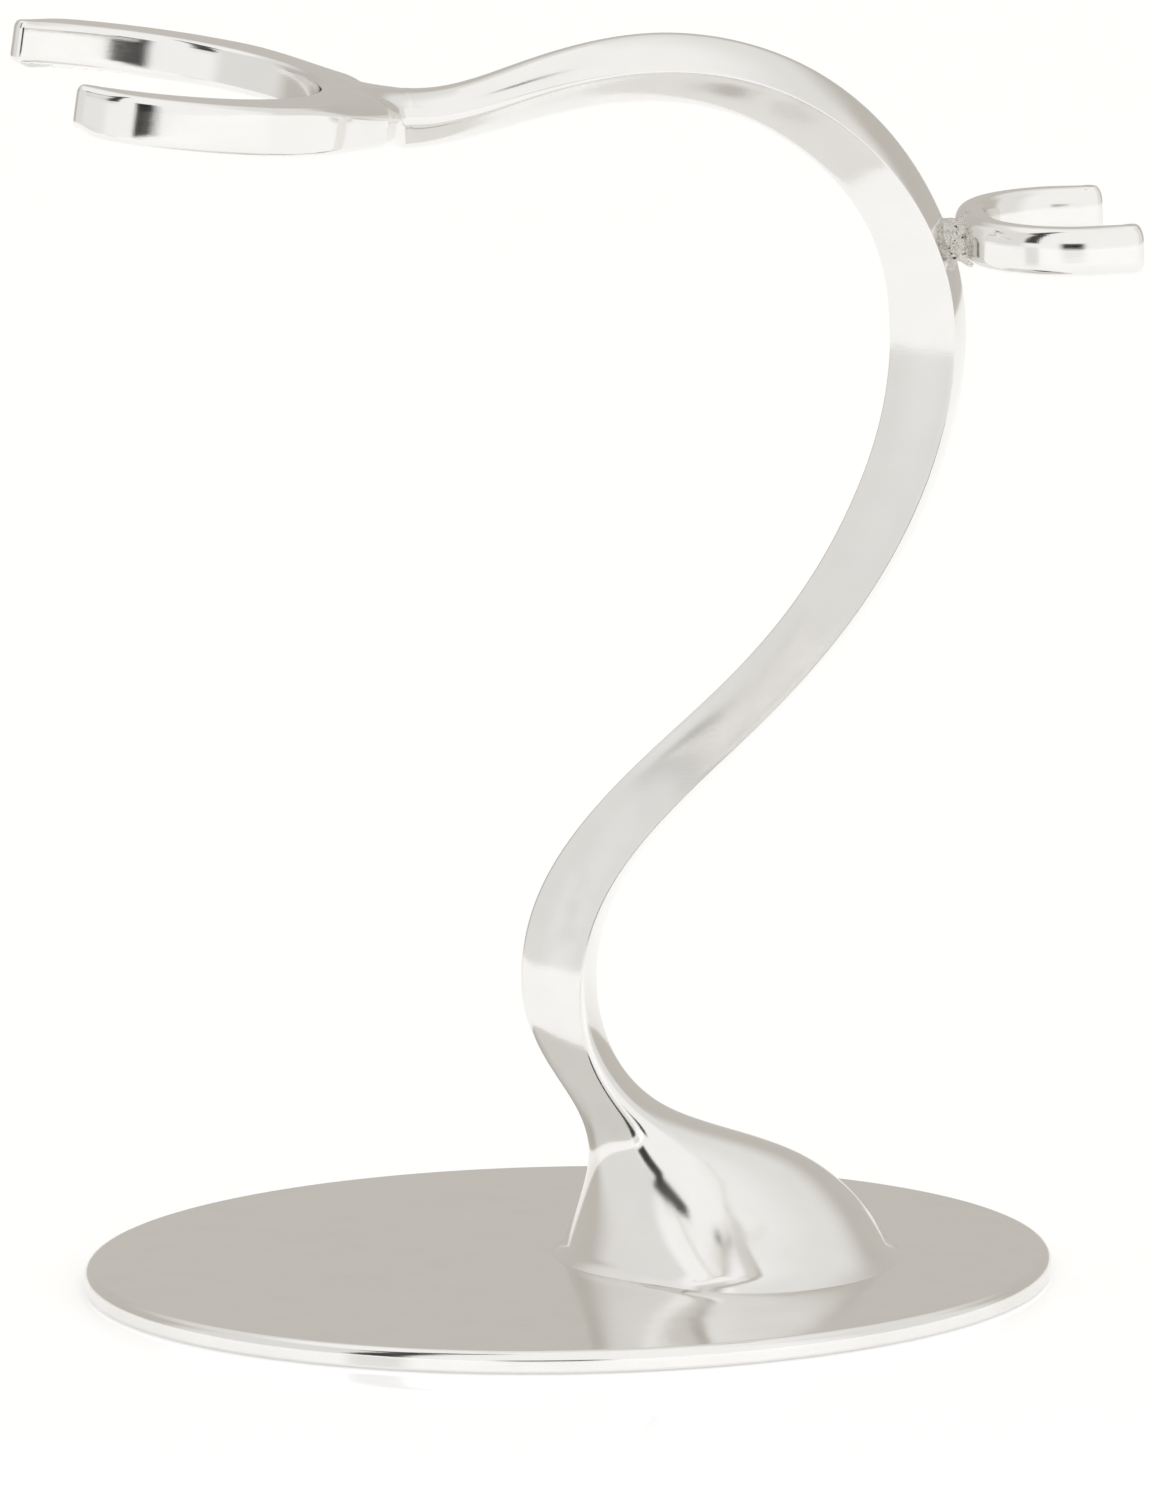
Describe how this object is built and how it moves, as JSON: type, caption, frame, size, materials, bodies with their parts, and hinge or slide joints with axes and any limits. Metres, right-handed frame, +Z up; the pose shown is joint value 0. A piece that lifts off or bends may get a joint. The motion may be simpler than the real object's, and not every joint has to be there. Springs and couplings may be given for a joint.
{
  "type": "shaving brush and razor stand",
  "caption": "Countertop stand: an S-shaped stem on a round plate, with a C-shaped fork that hangs a shaving brush and a smaller fork opposite that hangs a safety razor.",
  "frame": {"origin": "middle of the underside of the felt pad, on the surface the stand rests on", "axes": "+Z up; the stem's plane of symmetry is XZ; the brush fork reaches towards -X and the razor fork towards +X"},
  "size_m": [0.0993, 0.088, 0.1154],
  "materials": {
    "polished_nickel": "mirror-polished nickel plating over brass, with fine polishing marks",
    "flush_braze": "silver braze dressed flush and plated over",
    "rough_braze": "undressed, pitted silver braze with dark flux specks",
    "zinc_steel": "plain zinc-plated screw steel",
    "adhesive_film": "translucent pressure-sensitive film",
    "dark_felt": "short pressed wool felt"
  },
  "bodies": {
    "root": {"base_plate": "polished_nickel", "stem": "polished_nickel", "brush_fork": "polished_nickel", "brush_fork_braze": "flush_braze", "razor_fork": "polished_nickel", "razor_fork_braze": "rough_braze", "foot_screws": "zinc_steel", "pad_adhesive": "adhesive_film", "base_pad": "dark_felt"}
  },
  "joints": []
}
